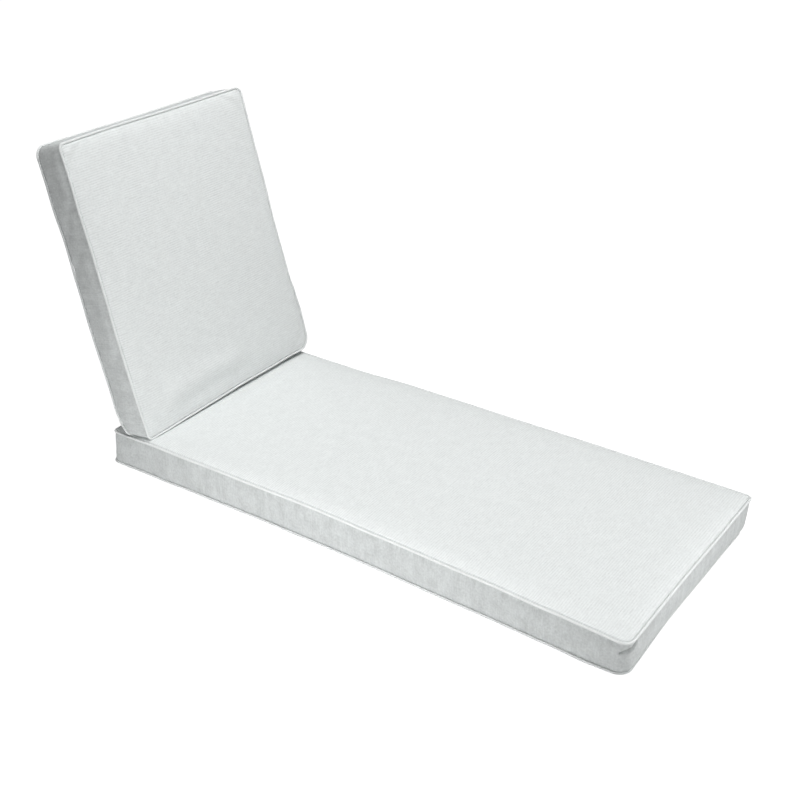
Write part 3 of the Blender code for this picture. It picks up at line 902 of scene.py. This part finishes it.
def stretched_noise(tree, along, across, grain):
    """Noise whose spots are as long and as wide as the grain says, in spots per metre."""
    place = add_node(tree, "ShaderNodeCombineXYZ")
    feed(tree, place.inputs[0], arithmetic(tree, "MULTIPLY", along, grain.along))
    feed(tree, place.inputs[1], arithmetic(tree, "MULTIPLY", across, grain.across))
    noise = add_node(tree, "ShaderNodeTexNoise")
    noise.inputs["Scale"].default_value = 1.0
    noise.inputs["Detail"].default_value = grain.detail
    tree.links.new(place.outputs[0], noise.inputs["Vector"])
    return noise.outputs["Fac"]


print("node helpers ready, from add_node to stretched_noise")

# %% [markdown]
# ## Three cuts of one canvas
#
# A Weave is one row of strengths. The panels show their ribs. On the band the ribs hardly show and the
# heather does, with faint upright streaks where the cloth is slack, and its colour is darker, which is
# painted shade for the upright sides. The piping's strip is cut on the bias and pulled tight, so it looks
# almost plain, and it is painted a little paler than the rest, a painted highlight for its round cord.

# %% Yarns, slubs and heather
RIB_PITCH = 0.00525
RIB_DRIFT = 0.0022
RIB_GAIN, RIB_LOSS = 2.4, -0.2
YARN_PITCH = 0.0016
BUMP_DEPTH = 0.0004
SLUB_HEIGHT, YARN_HEIGHT, HEATHER_HEIGHT = 0.4, 0.25, 0.6
ROUGHNESS, SLUB_SMOOTHING = 0.95, -0.15
SPECULAR = 0.25
SHEEN, SHEEN_ROUGHNESS = 0.15, 0.5
Grain = namedtuple("Grain", "along across detail")
DRIFT_GRAIN = Grain(along=14.0, across=60.0, detail=2.0)
FULLNESS_GRAIN = Grain(along=22.0, across=7.0, detail=2.0)
SLUB_GRAIN = Grain(along=45.0, across=420.0, detail=2.0)
HEATHER_GRAIN = Grain(along=190.0, across=190.0, detail=2.0)
PATCH_GRAIN = Grain(along=38.0, across=38.0, detail=3.0)
STREAK_GRAIN = Grain(along=7.0, across=75.0, detail=2.0)
Weave = namedtuple("Weave", "rib yarn slub heather patch streak bump")
PANEL_WEAVE = Weave(rib=0.088, yarn=0.03, slub=0.20, heather=0.22, patch=0.10, streak=0.0, bump=0.32)
BAND_WEAVE = Weave(rib=0.020, yarn=0.03, slub=0.16, heather=0.42, patch=0.36, streak=0.22, bump=0.25)
PIPING_WEAVE = Weave(rib=0.012, yarn=0.02, slub=0.04, heather=0.08, patch=0.03, streak=0.0, bump=0.10)


def shade_of(tree, parts):
    """One plus every pattern's share, each pattern swinging evenly about its middle."""
    shade = 1.0
    for value, amount in parts:
        if amount > 0.0:
            swing = arithmetic(tree, "SUBTRACT", value, 0.5)
            shade = arithmetic(tree, "MULTIPLY_ADD", swing, amount, shade)
    return shade


def make_canvas(name, colour, weave, bias=False):
    material = bpy.data.materials.new(name)
    material.use_nodes = True
    tree = material.node_tree
    shader = tree.nodes["Principled BSDF"]
    measure = add_node(tree, "ShaderNodeUVMap", uv_map="cloth")
    split = add_node(tree, "ShaderNodeSeparateXYZ")
    tree.links.new(measure.outputs[0], split.inputs[0])
    along, across = split.outputs[0], split.outputs[1]
    if bias:
        along, across = arithmetic(tree, "SUBTRACT", along, across), arithmetic(tree, "ADD", along, across)
    drift = stretched_noise(tree, along, across, DRIFT_GRAIN)
    across = arithmetic(tree, "MULTIPLY_ADD", drift, RIB_DRIFT, across)
    fullness = stretched_noise(tree, along, across, FULLNESS_GRAIN)
    rib = arithmetic(tree, "SUBTRACT", wave_of(tree, across, RIB_PITCH), 0.5)
    rib = arithmetic(tree, "MULTIPLY", rib, arithmetic(tree, "MULTIPLY_ADD", fullness, RIB_GAIN, RIB_LOSS))
    rib = arithmetic(tree, "ADD", rib, 0.5)
    yarn = wave_of(tree, along, YARN_PITCH)
    slub = stretched_noise(tree, along, across, SLUB_GRAIN)
    heather = stretched_noise(tree, along, across, HEATHER_GRAIN)
    patch = stretched_noise(tree, along, across, PATCH_GRAIN)
    streak = stretched_noise(tree, along, across, STREAK_GRAIN)
    shade = shade_of(tree, (
        (rib, weave.rib),
        (yarn, weave.yarn),
        (slub, weave.slub),
        (heather, weave.heather),
        (patch, weave.patch),
        (streak, weave.streak),
    ))
    tint = add_node(tree, "ShaderNodeVectorMath", operation="SCALE")
    tint.inputs[0].default_value = colour
    tree.links.new(shade, tint.inputs["Scale"])
    tree.links.new(tint.outputs[0], shader.inputs["Base Color"])
    height = arithmetic(tree, "MULTIPLY_ADD", slub, SLUB_HEIGHT, rib)
    height = arithmetic(tree, "MULTIPLY_ADD", yarn, YARN_HEIGHT, height)
    height = arithmetic(tree, "MULTIPLY_ADD", heather, HEATHER_HEIGHT, height)
    bump = add_node(tree, "ShaderNodeBump")
    bump.inputs["Strength"].default_value = weave.bump
    bump.inputs["Distance"].default_value = BUMP_DEPTH
    tree.links.new(height, bump.inputs["Height"])
    tree.links.new(bump.outputs[0], shader.inputs["Normal"])
    roughness = arithmetic(tree, "MULTIPLY_ADD", slub, SLUB_SMOOTHING, ROUGHNESS)
    tree.links.new(roughness, shader.inputs["Roughness"])
    shader.inputs["Specular IOR Level"].default_value = SPECULAR
    shader.inputs["Sheen Weight"].default_value = SHEEN
    shader.inputs["Sheen Roughness"].default_value = SHEEN_ROUGHNESS
    return material


print("ribs every", round(RIB_PITCH / MM, 2), "mm and yarns every", round(YARN_PITCH / MM, 2), "mm")

# %% Dress the pieces
PANEL_COLOUR = (0.76, 0.785, 0.78)
# The band's darker colour is painted shade for its upright sides; the cloth is the same canvas as the panels.
BAND_COLOUR_WITH_PAINTED_SHADE = (0.620, 0.644, 0.640)
# The piping's paler colour is a painted highlight for the light its round cord catches.
PIPING_COLOUR_WITH_PAINTED_HIGHLIGHT = (0.79, 0.81, 0.805)
panel_canvas = make_canvas("panel_canvas", PANEL_COLOUR, PANEL_WEAVE)
band_canvas_with_painted_shade = make_canvas("band_canvas_with_painted_shade", BAND_COLOUR_WITH_PAINTED_SHADE, BAND_WEAVE)
bias_canvas_with_painted_highlight = make_canvas("bias_canvas_with_painted_highlight", PIPING_COLOUR_WITH_PAINTED_HIGHLIGHT, PIPING_WEAVE, bias=True)
for piece in (seat_cloth, back_cloth):
    piece.data.materials.append(panel_canvas)
    piece.data.materials.append(band_canvas_with_painted_shade)
for piece in pipings.values():
    piece.data.materials.clear()
    piece.data.materials.append(bias_canvas_with_painted_highlight)
print("materials", [material.name for material in (panel_canvas, band_canvas_with_painted_shade, bias_canvas_with_painted_highlight)])

# %% [markdown]
# ## Which solid each piece stands for
#
# The imported solids stay in the model for the physics, and the dressed pieces are shown in their place. Every
# piece rides on the one body that the object has.

# %% Hang each piece on the body, hide its solid and shade it smooth
for node, piece in (("seat_cushion", seat_cloth), ("back_cushion", back_cloth), *pipings.items()):
    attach(piece, "root")
    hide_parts(node)
    piece.data.shade_smooth()
print("pieces", [seat_cloth.name, back_cloth.name, *(piece.name for piece in pipings.values())])

# %% [markdown]
# ## The floor
#
# The photograph is a cut-out on white, with hardly a shadow under it. In a studio that is done with a light
# table: a sheet that glows from below. A brighter lamp would do it too, but it would wash out the cushion.
# So the floor is a pale sheet with a glow of its own. A Light Path node tells rays from the camera from all
# others, so that the camera sees a strong glow and the cloth gets a weak one. The floor is only a stage: it
# is no part of the object.

# %% The glowing floor
FLOOR_SIZE = 30.0
FLOOR_TINT = (0.25, 0.25, 0.25, 1.0)
WHITE = (1.0, 1.0, 1.0, 1.0)
GLOW_SEEN = 0.97
GLOW_SHED = 0.434

bpy.ops.object.select_all(action="DESELECT")
bpy.ops.mesh.primitive_plane_add(size=FLOOR_SIZE)
floor = bpy.context.object
floor.name = floor.data.name = "floor"


def seen_or_shed(tree, seen, shed):
    """One value for what the camera sees and another for the light that is shed on the object."""
    path = add_node(tree, "ShaderNodeLightPath")
    return arithmetic(tree, "MULTIPLY_ADD", path.outputs["Is Camera Ray"], seen - shed, shed)


light_table = bpy.data.materials.new("light_table")
light_table.use_nodes = True
tree = light_table.node_tree
sheet_shader = tree.nodes["Principled BSDF"]
sheet_shader.inputs["Base Color"].default_value = FLOOR_TINT
sheet_shader.inputs["Roughness"].default_value = 1.0
sheet_shader.inputs["Specular IOR Level"].default_value = 0.0
sheet_shader.inputs["Emission Color"].default_value = WHITE
feed(tree, sheet_shader.inputs["Emission Strength"], seen_or_shed(tree, GLOW_SEEN, GLOW_SHED))
floor.data.materials.append(light_table)
print("floor", FLOOR_SIZE, "m wide, glow", GLOW_SEEN, "seen and", GLOW_SHED, "shed")

# %% [markdown]
# ## The lamps
#
# The cushion is lit by a large soft sheet overhead, a second one nearer the foot, and a wide soft sky that
# comes from almost straight above. Three small low panels lift its near side and its foot. All are wide,
# so no shadow has a hard edge. Their strengths were found by rendering each lamp alone and weighing the
# pictures against the brightness of the cloth. That fit can't tell a darker cloth from a dimmer lamp.

# %% Lamps
Lamp = namedtuple("Lamp", "name place aim width height watts")
LAMPS = (
    Lamp("overhead", (0.0, -0.1, 2.4), (0.0, -0.1, 0.0), 1.6, 1.6, 27.4),
    Lamp("overhead_foot", (0.1, -0.5, 2.2), (0.0, -0.3, 0.0), 1.4, 1.4, 10.3),
    Lamp("near_side", (-0.8, -0.15, 0.15), (-0.29, -0.15, 0.04), 1.0, 0.15, 2.5),
    Lamp("near_head", (-1.0, 0.55, 0.15), (-0.29, 0.5, 0.05), 0.5, 0.2, 0.92),
    Lamp("foot_end", (0.0, -1.3, 0.2), (0.0, -0.73, 0.05), 0.8, 0.25, 2.5),
)
SKY_AZIMUTH = math.radians(90.0)
SKY_ELEVATION = math.radians(80.0)
SKY_SPREAD = math.radians(70.0)
SKY_DISTANCE = 3.0
SKY_STRENGTH = 0.816
WORLD_SEEN, WORLD_SHED = 1.0, 0.08


def aimed(direction):
    return Vector(direction).to_track_quat("-Z", "Y")


for lamp in LAMPS:
    bpy.ops.object.light_add(type="AREA", location=lamp.place)
    panel = bpy.context.object
    panel.name = panel.data.name = lamp.name
    panel.data.shape = "RECTANGLE"
    panel.data.size, panel.data.size_y = lamp.width, lamp.height
    panel.data.energy = lamp.watts
    panel.rotation_mode = "QUATERNION"
    panel.rotation_quaternion = aimed(Vector(lamp.aim) - Vector(lamp.place))
    panel.visible_camera = False

toward_sky = Vector((
    math.sin(SKY_AZIMUTH) * math.cos(SKY_ELEVATION),
    -math.cos(SKY_AZIMUTH) * math.cos(SKY_ELEVATION),
    math.sin(SKY_ELEVATION),
))
bpy.ops.object.light_add(type="SUN", location=toward_sky * SKY_DISTANCE)
sky = bpy.context.object
sky.name = sky.data.name = "soft_sky"
sky.data.energy = SKY_STRENGTH
sky.data.angle = SKY_SPREAD
sky.rotation_mode = "QUATERNION"
sky.rotation_quaternion = aimed(-toward_sky)
print("lamps", [lamp.name for lamp in LAMPS], "and", sky.name)

# %% [markdown]
# ## White all round
#
# What lies past the floor is white too, so that no horizon shows, and it sheds only a little light.
# The Standard view shows the colours as they are, with no film curve over them.

# %% World, view and sizes
studio = bpy.data.worlds.new("studio")
scene.world = studio
studio.use_nodes = True
background = studio.node_tree.nodes["Background"]
background.inputs["Color"].default_value = WHITE
brightness = seen_or_shed(studio.node_tree, WORLD_SEEN, WORLD_SHED)
feed(studio.node_tree, background.inputs["Strength"], brightness)
scene.view_settings.view_transform = "Standard"
